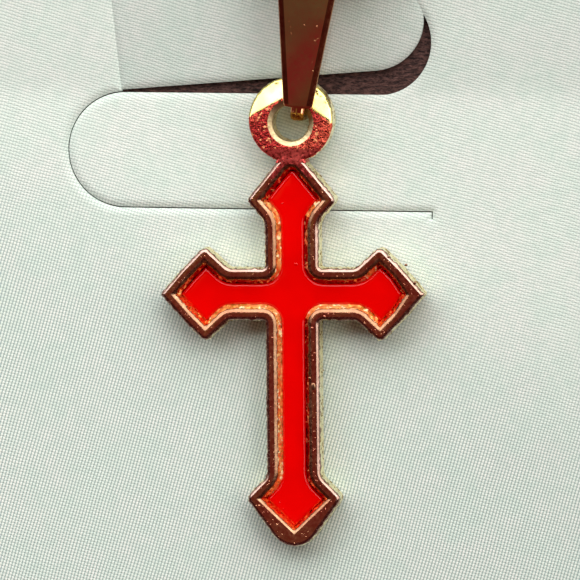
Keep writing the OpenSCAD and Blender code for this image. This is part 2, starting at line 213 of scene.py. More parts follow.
def filled(loops, extra):
    """Triangles between closed loops, the first one outermost, with some inner points."""
    points, edges = [], []
    for loop in loops:
        first = len(points)
        points += [Vector(p) for p in loop]
        edges += [(first + k, first + (k + 1) % len(loop)) for k in range(len(loop))]
    points += [Vector(p) for p in extra]
    verts, edges, faces, _, origins, _ = delaunay_2d_cdt(points, edges, [], 0, 1e-7)
    verts, faces = np.array([tuple(v) for v in verts]), np.array(faces)
    walls = {(min(e), max(e)) for e, origin in zip(edges, origins) if origin}
    shared = {}
    for k, (a, b, c) in enumerate(faces.tolist()):
        for e in ((a, b), (b, c), (c, a)):
            e = (min(e), max(e))
            if e not in walls:
                shared.setdefault(e, []).append(k)
    beside = [[] for _ in faces]
    for pair in shared.values():
        if len(pair) == 2:
            beside[pair[0]].append(pair[1])
            beside[pair[1]].append(pair[0])
    corners = verts[faces]
    middles = corners.mean(axis=1)
    usable = inside(middles, loops[0])
    for hole in loops[1:]:
        usable &= ~inside(middles, hole)
    sides = corners[:, 1:] - corners[:, :1]
    area = np.abs(sides[:, 0, 0] * sides[:, 1, 1] - sides[:, 0, 1] * sides[:, 1, 0]) * usable
    keep = np.zeros(len(faces), bool)
    queue = [int(np.argmax(area))]
    keep[queue] = True
    while queue:
        for k in beside[queue.pop()]:
            if not keep[k]:
                keep[k] = True
                queue.append(k)
    return verts, faces[keep]


def band_faces(rows, around, joined=False):
    """Faces between neighbouring rows, each a closed loop; joined adds those from last to first."""
    faces = []
    for row in range(rows if joined else rows - 1):
        low, top = row * around, (row + 1) % rows * around
        for k in range(around):
            after = (k + 1) % around
            faces.append((low + k, low + after, top + after, top + k))
    return faces


def stack_faces(rows, around):
    """Faces of a closed stack of rows."""
    first, last = range(around), range((rows - 1) * around, rows * around)
    return band_faces(rows, around) + [tuple(first), tuple(last)]


def new_object(name, data):
    obj = bpy.data.objects.new(name, data)
    bpy.context.scene.collection.objects.link(obj)
    return obj


def make_mesh(name, verts, faces, materials, face_material=None, smooth_angle=40):
    """A closed smooth-shaded object from points in millimetres."""
    mesh = bpy.data.meshes.new(name)
    verts = [tuple(c * MM for c in v) for v in verts]
    mesh.from_pydata(verts, [], [tuple(int(i) for i in f) for f in faces])
    work = bmesh.new()
    work.from_mesh(mesh)
    bmesh.ops.remove_doubles(work, verts=work.verts, dist=1e-7)
    bmesh.ops.recalc_face_normals(work, faces=work.faces)
    work.to_mesh(mesh)
    work.free()
    for m in materials:
        mesh.materials.append(m)
    if face_material:
        mesh.polygons.foreach_set("material_index", face_material)
    mesh.shade_smooth()
    mesh.set_sharp_from_angle(angle=radians(smooth_angle))
    obj = new_object(name, mesh)
    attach(obj, "root")
    return obj


# Procedural materials

class Nodes:
    """Builds one node material from short calls."""

    def __init__(self, name):
        self.material = bpy.data.materials.new(name)
        self.material.use_nodes = True
        self.tree = self.material.node_tree
        self.shader = self.tree.nodes["Principled BSDF"]
        self.where = self.add("ShaderNodeTexCoord").outputs["Object"]

    def add(self, kind, **values):
        node = self.tree.nodes.new(kind)
        for key, value in values.items():
            setattr(node, key, value)
        return node

    def put(self, socket, value):
        if isinstance(value, bpy.types.NodeSocket):
            self.tree.links.new(value, socket)
        elif value is not None:
            socket.default_value = (*value, 1) if socket.type == "RGBA" else value

    def made(self, kind, output, **inputs):
        """One output of a new node with these inputs."""
        node = self.add(kind)
        for key, value in inputs.items():
            self.put(node.inputs[key], value)
        return node.outputs[output]

    def split(self, vector):
        node = self.add("ShaderNodeSeparateXYZ")
        self.put(node.inputs[0], vector)
        return node.outputs["X"], node.outputs["Y"]

    def math(self, kind, a, b=None):
        node = self.add("ShaderNodeMath", operation=kind)
        self.put(node.inputs[0], a)
        self.put(node.inputs[1], b)
        return node.outputs[0]

    def plus(self, a, b):
        return self.math("ADD", a, b)

    def minus(self, a, b):
        return self.math("SUBTRACT", a, b)

    def times(self, a, b):
        return self.math("MULTIPLY", a, b)

    def noise(self, per_mm, detail=3.0, roughness=0.55, where=None, distortion=0.0):
        return self.made("ShaderNodeTexNoise", "Fac", Vector=where or self.where, Scale=per_mm / MM,
                         Detail=detail, Roughness=roughness, Distortion=distortion)

    def ramp(self, fac, low, top, to_low=0.0, to_high=1.0):
        node = self.add("ShaderNodeMapRange", interpolation_type="SMOOTHSTEP")
        for socket, value in zip(node.inputs, (fac, low, top, to_low, to_high)):
            self.put(socket, value)
        return node.outputs["Result"]

    def mix(self, fac, a, b, kind="MIX"):
        node = self.add("ShaderNodeMix", data_type="RGBA", blend_type=kind)
        for key, value in (("Factor", fac), ("A", a), ("B", b)):
            self.put(node.inputs[key], value)
        return node.outputs["Result"]

    def bump(self, height, distance, strength=1.0, base=None):
        return self.made("ShaderNodeBump", "Normal", Strength=strength, Distance=distance * MM,
                         Height=height, Normal=base)

    def finish(self, **values):
        for key, value in values.items():
            self.put(self.shader.inputs[key.replace("_", " ")], value)
        return self.material


SPECK_EDGE, GRAIN_EDGE = 0.08, 0.05
GRAIN_ROUGHNESS = 0.3


def gold(name, base, warm, rough, grain, depth, specks=None, grains=()):
    """Gold plating between two colours, with a cast grain: number per mm and depth.

    Specks are raised: height, number per mm and level. Grains are matt: number per mm, level and colour.
    """
    n = Nodes("gold_" + name)
    fine = n.noise(grain, 4.0, 0.7)
    colour = n.mix(n.ramp(n.noise(0.45, 2), 0.38, 0.62), base, warm)
    roughness = n.ramp(fine, 0.35, 0.7, rough * 0.7, rough * 1.5)
    normal = n.bump(fine, depth)
    if specks:
        height, per_mm, level = specks
        speck = n.ramp(n.noise(per_mm, 1.0), level, level + SPECK_EDGE)
        normal = n.bump(speck, height, base=normal)
    for per_mm, level, tone in grains:
        grain_here = n.ramp(n.noise(per_mm, 2.0, 0.6), level, level + GRAIN_EDGE)
        colour = n.mix(grain_here, colour, tone)
        roughness = n.plus(roughness, n.times(grain_here, GRAIN_ROUGHNESS))
    return n.finish(Base_Color=colour, Metallic=1.0, Roughness=roughness, Normal=normal)


def enamel_material():
    n = Nodes("red_enamel")
    colour = n.mix(n.ramp(n.noise(0.3, 2), 0.35, 0.65), (0.62, 0.0, 0.0), (0.69, 0.0, 0.0))
    normal = n.bump(n.noise(0.9, 1), 0.01)
    return n.finish(Base_Color=colour, Roughness=0.1, Normal=normal, Specular_IOR_Level=0.35)


THREAD_PITCH, THREAD_LEAN = 0.195, -16.5
THREAD_DRIFT_X, THREAD_DRIFT_Y = 0.35, 0.3
# Going up this stretch, gaps between rows of thread take over from those between upright threads
ROWS_START, ROWS_END, ROWS_SLANT = -7, 9, 0.35
# The card's brightness; its fall towards the right for each millimetre and the fall above the cut are
# painted shade, where the light on the card falls off
CARD_LEVEL, FADE_PER_MM, FADE_ABOVE_CUT = 0.935, 0.0028, 0.12
FADE_START, FADE_END = 11.5, 13.5


def weave_material(name, brightness):
    """Plain weave: each thread's crown is pale and the gaps between threads are darker."""
    n = Nodes(name)
    turn = n.add("ShaderNodeVectorRotate", rotation_type="Z_AXIS")
    n.put(turn.inputs["Angle"], radians(-THREAD_LEAN))
    n.put(turn.inputs["Vector"], n.where)
    turned_x, turned_y = n.split(turn.outputs[0])
    drift_x = n.times(n.minus(n.noise(0.12, 2), 0.5), THREAD_DRIFT_X * MM)
    drift_y = n.times(n.minus(n.noise(0.2, 2), 0.5), THREAD_DRIFT_Y * MM)
    step = pi / (THREAD_PITCH * MM)
    across = n.times(n.plus(turned_x, drift_x), step)
    along = n.times(n.plus(turned_y, drift_y), step)
    u = n.math("ABSOLUTE", n.math("SINE", across))
    v = n.math("ABSOLUTE", n.math("SINE", along))
    over = n.ramp(n.times(n.math("COSINE", across), n.math("COSINE", along)), -0.4, 0.4)
    crown = n.plus(n.times(u, over), n.times(v, n.minus(1, over)))

    x, y = n.split(n.where)
    rows = n.ramp(n.plus(y, n.times(x, ROWS_SLANT)), ROWS_START * MM, ROWS_END * MM)
    upright_power = n.minus(1, n.times(rows, 0.75))
    row_power = n.plus(0.3, n.times(rows, 0.6))
    thread = n.times(n.math("POWER", u, upright_power), n.math("POWER", v, row_power))
    gap = n.minus(1, n.ramp(thread, 0.1, 0.8))
    shade = n.minus(1, n.times(gap, n.minus(1, n.times(rows, 0.45))))

    threads = n.mix(n.ramp(n.noise(2.2, 3, 0.7), 0.3, 0.7), (0.71, 0.81, 0.75), (0.81, 0.87, 0.82))
    patches = n.ramp(n.noise(0.35, 2), 0.35, 0.65)
    threads = n.mix(patches, threads, (0.95, 1.0, 0.98), "MULTIPLY")
    colour = n.mix(shade, (0.32, 0.44, 0.42), threads)
    # Painted shade: the card is darkened towards the right and above the cut
    above_cut = n.ramp(y, FADE_START * MM, FADE_END * MM)
    painted_shade_fall = n.plus(n.times(x, FADE_PER_MM / MM), n.times(above_cut, FADE_ABOVE_CUT))
    colour = n.mix(1.0, colour, n.times(n.minus(CARD_LEVEL, painted_shade_fall), brightness), "MULTIPLY")
    return n.finish(
        Base_Color=colour, Roughness=0.85, Normal=n.bump(crown, 0.04, 0.6), Sheen_Weight=0.15,
        Sheen_Roughness=0.5, Specular_IOR_Level=0.2,
    )


def fibre_material():
    n = Nodes("fibre_backing")
    stretched = n.made("ShaderNodeMapping", "Vector", Vector=n.where, Scale=(0.35, 1.0, 1.0),
                       Rotation=(0, 0, radians(20)))
    strands = n.noise(6.0, 4, 0.8, stretched, 0.6)
    colour = n.mix(n.ramp(strands, 0.35, 0.75), (0.010, 0.005, 0.005), (0.15, 0.075, 0.065))
    return n.finish(
        Base_Color=colour, Roughness=0.95, Normal=n.bump(strands, 0.1), Sheen_Weight=0.2,
        Specular_IOR_Level=0.1,
    )


# The pendant's outline at any inset, the same rule as the solids

STEPS = 6
STRAIGHT_STEP = 0.11
MOST_OF_SIDE = 0.49
FLIP = xy(1, -1)


def meet(p, pd, q, qd):
    """Where the line through p along pd meets the line through q along qd."""
    t = ((q[0] - p[0]) * qd[1] - (q[1] - p[1]) * qd[0]) / (pd[0] * qd[1] - pd[1] * qd[0])
    return p + pd * t


def rounded_corner(a, b, c, r):
    """Arc that rounds the corner b between a and c, smaller where the sides are short."""
    ua, uc = unit(a - b), unit(c - b)
    half = acos(float(np.clip(ua @ uc, -1, 1))) / 2
    run = min(r / tan(half), MOST_OF_SIDE * norm(a - b), MOST_OF_SIDE * norm(c - b))
    radius = run * tan(half)
    centre = b + unit(ua + uc) * radius / sin(half)
    start = atan2(*(b + ua * run - centre)[::-1])
    end = atan2(*(b + uc * run - centre)[::-1])
    swing = (end - start + 3 * pi) % (2 * pi) - pi
    angles = [start + swing * k / STEPS for k in range(STEPS + 1)]
    return [centre + radius * xy(cos(a), sin(a)) for a in angles]


def inset_corners(arm, bar, inset):
    """Corners of one side of an arm, the last one on its middle line."""
    points = [xy(0.0, bar)] + [xy(float(x), float(y)) for x, y, _ in arm]
    lines = []
    for a, b in zip(points[:-1], points[1:]):
        d = unit(b - a)
        lines.append((a + inset * xy(d[1], -d[0]), d))
    corners = [meet(*lines[k - 1], *lines[k]) for k in range(1, len(lines))]
    corners.append(meet(*lines[-1], np.zeros(2), xy(1.0, 0.0)))
    return corners


def with_straights(runs, counts):
    """Joins runs of points, with a fixed number of points on the straights between them."""
    out = list(runs[0])
    for run, count in zip(runs[1:], counts):
        out += between(out[-1], run[0], count) + list(run)
    return out


def arm_side(arm, bar, inset, tip_inset):
    """One side of an arm as runs of points, one run for each rounded corner."""
    corners = inset_corners(arm, bar, inset)
    corners[-1] = corners[-1] - xy(tip_inset, 0)
    last = len(corners) - 1
    runs = []
    for k in range(last):
        r = arm[k][2] + inset if k == 0 else max(arm[k][2] - inset, LEAST_R)
        before = xy(0, bar - inset) if k == 0 else corners[k - 1]
        runs.append(rounded_corner(before, corners[k], corners[k + 1], r))
    tip_r = max(arm[last][2] - inset - tip_inset, LEAST_R)
    tip = rounded_corner(corners[last - 1], corners[last], corners[last - 1] * FLIP, tip_r)
    runs.append([xy(p[0], max(p[1], 0)) for p in tip[:STEPS // 2 + 1]])
    return runs


def straight_counts(runs):
    lengths = [norm(b[0] - a[-1]) for a, b in zip(runs[:-1], runs[1:])]
    return [max(1, ceil(length / STRAIGHT_STEP)) for length in lengths]


PLAIN_SIDES = [arm_side(arm, bar, 0, 0) for arm, bar in zip(ARMS, ARM_BAR)]
SIDE_COUNTS = [straight_counts(side) for side in PLAIN_SIDES]


def crotch(k, inset):
    """Rounded corner between an arm and the next one."""
    own, following, side = ARM_BAR[k] - inset, ARM_BAR[(k + 1) % 4] - inset, 3
    corner = [xy(following + side, own), xy(following, own), xy(following, own + side)]
    return rounded_corner(*corner, CROTCH_R + inset)


def bar_count(k):
    """Number of parts of the straight from an arm's crotch to its first corner."""
    length = PLAIN_SIDES[k][0][0][0] - ARM_BAR[(k + 1) % 4] - CROTCH_R
    return max(1, ceil(length / STRAIGHT_STEP))


BAR_COUNTS = [bar_count(k) for k in range(4)]


def cross_loop(inset, tips):
    """The whole outline at an inset, anticlockwise, with a share of TIP_RIM."""
    loop = []
    for k in range(4):
        runs = arm_side(ARMS[k], ARM_BAR[k], inset, tips * TIP_RIM[k])
        side = with_straights(runs, SIDE_COUNTS[k])
        corner = crotch(k, inset)
        before = turned(crotch((k - 1) % 4, inset)[-1], -90)
        out_and_back = [p * FLIP for p in side] + side[-2::-1]
        lead = between(before, out_and_back[0], BAR_COUNTS[k])
        trail = between(out_and_back[-1], corner[0], BAR_COUNTS[k])
        loop += [turned(p, 90 * k) for p in lead + out_and_back + trail + corner]
    return loop


PLACE = (
    Matrix.Translation((*PENDANT_XY, PENDANT_LIFT))
    @ Matrix.Rotation(radians(PENDANT_TURN), 4, "Z")
    @ Matrix.Rotation(radians(PENDANT_TILT), 4, "X")
)


def placed(matrix, points):
    return [matrix @ Vector(p) for p in points]


def grid_points(loop, spacing, clear):
    """Points of a grid inside a loop that keep this clear of its edge."""
    loop = np.asarray(loop)
    low, top = loop.min(axis=0), loop.max(axis=0)
    xs, ys = np.arange(low[0], top[0], spacing), np.arange(low[1], top[1], spacing)
    points = np.array([(x + (j % 2) * spacing / 2, y) for j, y in enumerate(ys) for x in xs])
    points = points[inside(points, loop)]
    return points[distance_to(points, closed_line(loop)) > clear]


LOW_CAP_SPACING, TOP_CAP_SPACING = 0.6, 0.25
CAP_CLEAR = 0.6


def skin(levels):
    """Points, faces and each face's level, -1 on the ends; a level is (inset, z, share of TIP_RIM)."""
    loops = [cross_loop(inset, tip) for inset, _, tip in levels]
    count = len(loops[0])
    points = [(p[0], p[1], z) for loop, (_, z, _) in zip(loops, levels) for p in loop]
    faces = band_faces(len(levels), count)
    kinds = [level for level in range(len(levels) - 1) for _ in range(count)]
    for end, spacing in ((0, LOW_CAP_SPACING), (-1, TOP_CAP_SPACING)):
        verts, tris = filled([loops[end]], grid_points(loops[end], spacing, spacing * CAP_CLEAR))
        first = len(points)
        points += [(v[0], v[1], levels[end][1]) for v in verts]
        faces += [tuple(first + i for i in t) for t in tris]
        kinds += [-1] * len(tris)
    return points, faces, kinds


def wall_inset(z):
    return RIM_W + (CROSS_T - z) * WALL_LEAN


TIP_FALL = 0.58


def tip_share(inset):
    """Share of TIP_RIM at an inset: the recess walls keep parallel down to the floor."""
    return 1 - TIP_FALL * (inset - RIM_W)


# The casting's finishes, in the order of their materials
RIM, WALL, PAINTED_LIT_RECESS, PAINTED_LIT_LOBE, SHADED, NECK, RING_ROUGH, RING_SMOOTH, LIP, EDGE, BEVEL = range(11)
# From here outwards along each arm the recess belongs to the arm's wide end
LOBE_REACH = [5.2, 5.6, 5.2, 12.2]
# Recess walls that lean up or to the right by more than this get a lit gold, painted light for the
# window's light on them; the others get the dark shaded gold, painted shade
LIT_UP, LIT_RIGHT = 0.3, 0.5
NECK_START = 7.1
# Small lumps on the rim: x, y, half widths and height
RIM_LUMPS = [(1.26, -5.6, 0.16, 0.24, 0.05), (1.04, -5.1, 0.1, 0.1, 0.04), (7.0, 1.8, 0.1, 0.08, 0.04),
             (7.55, 0.72, 0.08, 0.1, 0.04), (5.95, 2.3, 0.09, 0.07, 0.03)]
LUMP_SINK = 0.03
# The edge under the cross and its outer wall: inset and height
FOOT = [(0.12, 0), (0.05, 0.02), (0.01, 0.07), (0, 0.15)]
OUTER_WALL = [(0.004, z) for z in (0.3, 0.45, 0.6, 0.75, 0.9, 1.05, 1.2, 1.34)]
# The rim's outer edge, a narrow slope: inset and depth
OUTER_EDGE = [(0.015, 0.19), (0.035, 0.13), (0.06, 0.09), (0.095, 0.065), (0.13, 0.043),
              (0.16, 0.024), (0.19, 0.01), (0.22, 0.002), (0.26, 0)]
RIM_MIDDLE = (0.34, CROSS_T, 0.6)
# The rim's inner edge, worn to a narrow slope: inset and depth
INNER_EDGE = [(0.475, 0.0), (0.5, 0.004), (0.53, 0.016), (0.57, 0.034), (0.62, 0.058),
              (0.66, 0.08), (0.69, 0.105), (0.71, 0.14), (0.725, 0.18)]
RECESS_WALL_STEPS = 6


def cross_mesh(materials):
    """Rim with rounded edges, sloping recess walls and the recess floor."""
    levels = [(inset, z, 0) for inset, z in FOOT + OUTER_WALL]
    bevel_start = len(levels)
    levels += [(inset, CROSS_T - drop, 0) for inset, drop in OUTER_EDGE]
    bevel_end = len(levels) - 2
    levels += [RIM_MIDDLE]
    worn_start = len(levels) + 1
    levels += [(inset, CROSS_T - drop, tip_share(inset)) for inset, drop in INNER_EDGE]
    worn_end = len(levels) - 2
    worn_inset, worn_drop = INNER_EDGE[-1]
    for part in np.linspace(0, 1, RECESS_WALL_STEPS + 1)[1:]:
        inset = worn_inset + part * (wall_inset(FLOOR_Z) - worn_inset)
        drop = worn_drop + part * (RECESS_DEPTH - worn_drop)
        levels.append((inset, CROSS_T - drop, tip_share(inset)))
    points, faces, kinds = skin(levels)
    finish = []
    for face, level in zip(faces, kinds):
        a, b, c = (Vector(points[i]) for i in face[:3])
        normal = (b - a).cross(c - a).normalized()
        normal *= copysign(1, normal.z)
        in_lobe = any(v > reach for v, reach in zip((a.x, a.y, -a.x, -a.y), LOBE_REACH))
        # Outer walls take the pale wall gold, partly painted highlight
        if 0 <= level < bevel_start:
            finish.append(WALL)
        elif 0 <= level < bevel_end:
            finish.append(BEVEL)
        elif level < worn_start:
            # The rim near the ring takes the neck's red gold, painted reflection of the red surroundings
            finish.append(NECK if a.y > NECK_START else RIM)
        elif level < worn_end:
            finish.append(EDGE)
        # Lit and shaded copies of the recess gold, chosen by which way a wall faces: painted light and
        # painted shade
        elif normal.y > LIT_UP or normal.x > LIT_RIGHT and not in_lobe:
            finish.append(PAINTED_LIT_LOBE if in_lobe else PAINTED_LIT_RECESS)
        else:
            finish.append(SHADED)
    return make_mesh("cross_casting", placed(PLACE, points), faces, materials, finish)


# The ring's smooth facet: its edge is a shallow arch above the ring's centre
FACET_TILT, FACET_BLEND = 17, 0.06
ARCH_TOP, ARCH_SLOPE, ARCH_ROUND, ARCH_LEAN = 1.58, 0.624, 0.1, 0.079
RING_DROP = 0.01
NECK_REACH = 1.75
RING_AROUND = 160
# The ring's underside edge: inset and height
RING_FOOT = [(0.1, 0.0), (0.02, 0.08)]
# The ring's outer wall as shares of its height, and the angles of the rounding above it
RING_WALL = (0.3, 0.55, 0.8)
RING_EDGE_ANGLES = (10, 30, 50, 70, 88)
RING_EDGE_R = 0.16
RING_FACE_STEPS, FACE_CLEAR = 10, 0.04
# The lip round the hole: how far out from the bore, and how far below the ring's face
LIP_PROFILE = [(0.32, 0.004), (0.29, 0.016), (0.23, 0.046), (0.16, 0.085), (0.1, 0.115),
               (0.06, 0.14), (0.025, 0.18), (0.006, 0.23), (0, 0.3)]
# The bore and the edge under it: how far out and height
BORE = [(0, 1.0), (0, 0.7), (0, 0.4), (0, 0.2), (0.03, 0.08), (0.12, 0.0)]
FACE_START = len(RING_FOOT) + len(RING_WALL)
LIP_START = FACE_START + len(RING_EDGE_ANGLES) + RING_FACE_STEPS
LIP_END = LIP_START + len(LIP_PROFILE) - 2


def facet_edge(x):
    """How far above the ring's centre its smooth upper facet starts."""
    return ARCH_TOP - ARCH_SLOPE * sqrt(x * x + ARCH_ROUND) - ARCH_LEAN * x


def ring_face_z(p):
    """Height of the ring's face: its upper part falls away beyond a shallow arch."""
    over = (p[1] - RING_Y - facet_edge(p[0])) / FACET_BLEND
    fall = tan(radians(FACET_TILT))
    return CROSS_T - RING_DROP - fall * FACET_BLEND * log1p(exp(min(over, 40)))


def ring_column(angle):
    """Section of the ring at an angle, from its foot outside over its face to its foot inside."""
    out = xy(cos(angle), sin(angle))
    outer = out * RING_R + xy(0, RING_Y)
    bore = out * HOLE_R + xy(0, HOLE_Y)
    column = [(outer - out * inset, z) for inset, z in RING_FOOT]
    column += [(outer, ring_face_z(outer) * share) for share in RING_WALL]
    for t in RING_EDGE_ANGLES:
        p = outer - out * RING_EDGE_R * (1 - cos(radians(t)))
        column.append((p, ring_face_z(p) - RING_EDGE_R * (1 - sin(radians(t)))))
    edge, lip = outer - out * (RING_EDGE_R + FACE_CLEAR), bore + out * (LIP_PROFILE[0][0] + FACE_CLEAR)
    for share in np.linspace(0, 1, RING_FACE_STEPS):
        p = edge + (lip - edge) * share
        column.append((p, ring_face_z(p)))
    for reach, drop in LIP_PROFILE:
        p = bore + out * reach
        column.append((p, ring_face_z(p) - drop))
    column += [(bore + out * reach, z) for reach, z in BORE]
    return [(p[0], p[1], z) for p, z in column]


def ring_mesh(materials):
    """Ring with an off-centre hole that has a rounded lip."""
    columns = [ring_column(2 * pi * k / RING_AROUND) for k in range(RING_AROUND)]
    rows = len(columns[0])
    points = [p for column in columns for p in column]
    faces, finish = [], []
    for k in range(RING_AROUND):
        for j in range(rows):
            following, above = (k + 1) % RING_AROUND, (j + 1) % rows
            faces.append((k * rows + j, following * rows + j, following * rows + above, k * rows + above))
            x, y = ((columns[k][j][i] + columns[following][above][i]) / 2 for i in range(2))
            # Above the arch the ring's face takes the smooth gold; below it the red rough gold and, near
            # the neck, the red neck gold, partly painted reflection of the red surroundings
            if FACE_START <= j < LIP_START and y - RING_Y > facet_edge(x):
                finish.append(RING_SMOOTH)
            elif FACE_START <= j < LIP_START:
                finish.append(NECK if y - RING_Y < -NECK_REACH else RING_ROUGH)
            else:
                finish.append(LIP if LIP_START <= j < LIP_END else WALL)
    return make_mesh("ring_casting", placed(PLACE, points), faces, materials, finish)


NECK_FLARE, NECK_FLARE_H, NECK_TAPER = 0.12, 0.2, 0.02
# The neck's levels: inset and height
NECK_LEVELS = [(0.06, 0.02), (0.0, 0.1), (0.0, CROSS_T - 0.14), (0.03, CROSS_T - 0.05),
               (0.08, CROSS_T - 0.018), (0.14, CROSS_T - 0.006)]


def neck_mesh(materials):
    """Short block that joins the ring to the cross."""
    half = NECK_W / 2
    right = [(half + NECK_FLARE, NECK_LOW), (half, NECK_LOW + NECK_FLARE_H), (half - NECK_TAPER, NECK_TOP)]
    left = [(-x, y) for x, y in right[::-1]]
    outline = left[-1:] + right + left[:-1]
    points = []
    for inset, z in NECK_LEVELS:
        points += [(x * (1 - inset / half), y, z) for x, y in outline]
    faces = stack_faces(len(NECK_LEVELS), len(outline))
    return make_mesh("neck_casting", placed(PLACE, points), faces, materials, [NECK] * len(faces))


def dome(name, centre, across, along, height, materials):
    """Low round lump on a level surface, closed below it."""
    around, rings = 20, 6
    points = []
    for k in range(rings):
        t = radians(90 * k / rings)
        z = centre[2] + height * sin(t)
        for j in range(around):
            a = 2 * pi * j / around
            x = centre[0] + across * cos(t) * cos(a)
            y = centre[1] + along * cos(t) * sin(a)
            points.append((x, y, z))
    faces = stack_faces(rings, around)
    return make_mesh(name, placed(PLACE, points), faces, materials, smooth_angle=60)


def united(parts, smooth_angle=35):
    """The first of overlapping closed pieces, joined with the others."""
    base = parts[0]
    for other in parts[1:]:
        step = base.modifiers.new("join", "BOOLEAN")
        step.operation = "UNION"
        step.solver = "MANIFOLD"
        step.object = other
    bpy.context.view_layer.update()
    shape = bpy.data.meshes.new_from_object(base.evaluated_get(bpy.context.evaluated_depsgraph_get()))
    base.modifiers.clear()
    base.data = shape
    for other in parts[1:]:
        bpy.data.objects.remove(other)
    shape.shade_smooth()
    shape.set_sharp_from_angle(angle=radians(smooth_angle))
    return base


GRAIN_DEPTH, GRAINS_PER_MM = 0.08, 6.0
UNDERSIDE_Z, RING_START = 0.1, 8.9
RING_TOP_DEPTH, RIM_TOP_DEPTH = 0.3, 0.12


def casting_grain(p):
    """How coarse the casting is at a point: most on its walls, least on the ring's facet."""
    x, y, z = p
    if z < UNDERSIDE_Z:
        return 0
    if y <= RING_START:
        return 1.0 if z < CROSS_T - RIM_TOP_DEPTH else 0.04
    if z < CROSS_T - RING_TOP_DEPTH:
        return 0.5
    return 0.15 if y - RING_Y < facet_edge(x) - 0.1 else 0


def pitted(obj):
    """Pits and grains the casting along its normals."""
    mesh = obj.data
    count = len(mesh.vertices)
    points, normals = np.empty(count * 3, np.float32), np.empty(count * 3, np.float32)
    mesh.vertices.foreach_get("co", points)
    mesh.vertex_normals.foreach_get("vector", normals)
    points, normals = points.reshape(-1, 3).astype(float), normals.reshape(-1, 3)
    back = PLACE.inverted()
    for k in range(count):
        local = back @ Vector(points[k] / MM)
        amount = casting_grain(local)
        if amount > 0:
            grain = noise.fractal(local * GRAINS_PER_MM, 0.8, 2.0, 3)
            points[k] += normals[k] * grain * GRAIN_DEPTH * amount * MM
    mesh.vertices.foreach_set("co", points.astype(np.float32).ravel())
    mesh.update()


def cross_piece(materials):
    parts = [cross_mesh(materials), neck_mesh(materials), ring_mesh(materials)]
    for x, y, across, along, height in RIM_LUMPS:
        foot = (x, y, CROSS_T - LUMP_SINK)
        lump = dome("lump", foot, across, along, height + LUMP_SINK, materials)
        lump.data.polygons.foreach_set("material_index", [EDGE] * len(lump.data.polygons))
        parts.append(lump)
    obj = united(parts)
    obj.data.update()
    pitted(obj)
    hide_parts("cross_body")


ENAMEL_T, ENAMEL_EDGE_H = 0.22, 0.12
# The enamel's edge: how far in from the recess wall, and depth below its top
ENAMEL_EDGE = [(0.008, 0.1), (0.04, 0.072), (0.085, 0.045), (0.13, 0.022), (0.18, 0.008), (0.26, 0.0)]
# Bubbles in the enamel: x, y and half width
ENAMEL_BUBBLES = [(0.19, 1.82, 0.13), (-0.6, 5.52, 0.07), (-0.95, -12.7, 0.07), (-0.7, -13.1, 0.06)]
BUBBLE_SINK, BUBBLE_H, BUBBLE_FLATNESS = 0.02, 0.05, 0.7


def enamel_piece(material):
    """Red enamel whose edges round down to the recess walls, with a few low bubbles."""
    top = FLOOR_Z + ENAMEL_T
    edge = wall_inset(top - ENAMEL_EDGE_H) + 0.02
    levels = [(wall_inset(FLOOR_Z) + 0.05, FLOOR_Z + SEAT_GAP), (edge, top - ENAMEL_EDGE_H)]
    levels += [(edge + run, top - drop) for run, drop in ENAMEL_EDGE]
    points, faces, _ = skin([(inset, z, tip_share(inset)) for inset, z in levels])
    parts = [make_mesh("enamel_fill", placed(PLACE, points), faces, [material], smooth_angle=60)]
    for x, y, r in ENAMEL_BUBBLES:
        foot = (x, y, top - BUBBLE_SINK)
        parts.append(dome("bubble", foot, r, r * BUBBLE_FLATNESS, BUBBLE_H, [material]))
    obj = united(parts)
    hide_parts("enamel")


# The bail as a strip swept along its side view

def strip_path():
    """Stations of the strip's middle from the front prong to the back one: (v, z)."""
    t = STRIP_T
    centre = xy(LOOP_Y, LOOP_R)
    end = xy(LEG_START, FRONT_LEG_Z)
    reach = norm(centre - end)
    slope = degrees(atan2(*(centre - end)[::-1]) + asin(LOOP_R / reach))
    r = BEND_R - t / 2
    rise = xy(cos(radians(slope)), sin(radians(slope)))
    down = xy(rise[1], -rise[0]) * t / 2
    loop = arc(centre, LOOP_R - t / 2, 90 + slope, -90, 48)
    front_end = end + down
    bend = arc((BEND_R, FRONT_LEG_Z - BEND_R), r, 180, 90 + slope, 8)
    tip = xy(t / 2, FRONT_PRONG_Z)
    back_bend = arc((BEND_R, BEND_R), r, 270, 180, 8)
    back_tip = xy(t / 2, BACK_PRONG_Z)
    shoulder = front_end + rise * 0.3
    back_shoulder, back_foot = xy(LEG_START + 0.3, t / 2), xy(BEND_R, t / 2)
    runs = [
        resampled([tip, bend[0]], 0.12),
        bend,
        resampled([bend[-1], front_end], 0.05),
        resampled([front_end, shoulder], 0.02),
        resampled([shoulder, loop[0]], 0.4),
        loop,
        resampled([loop[-1], back_shoulder], 0.4),
        resampled([back_shoulder, back_foot], 0.03),
        back_bend,
        resampled([back_bend[-1], back_tip], 0.12),
    ]
    return runs[0] + [p for run in runs[1:] for p in run[1:]]


LEG_CORNER, LEG_END_SHARE = 0.2, 0.55


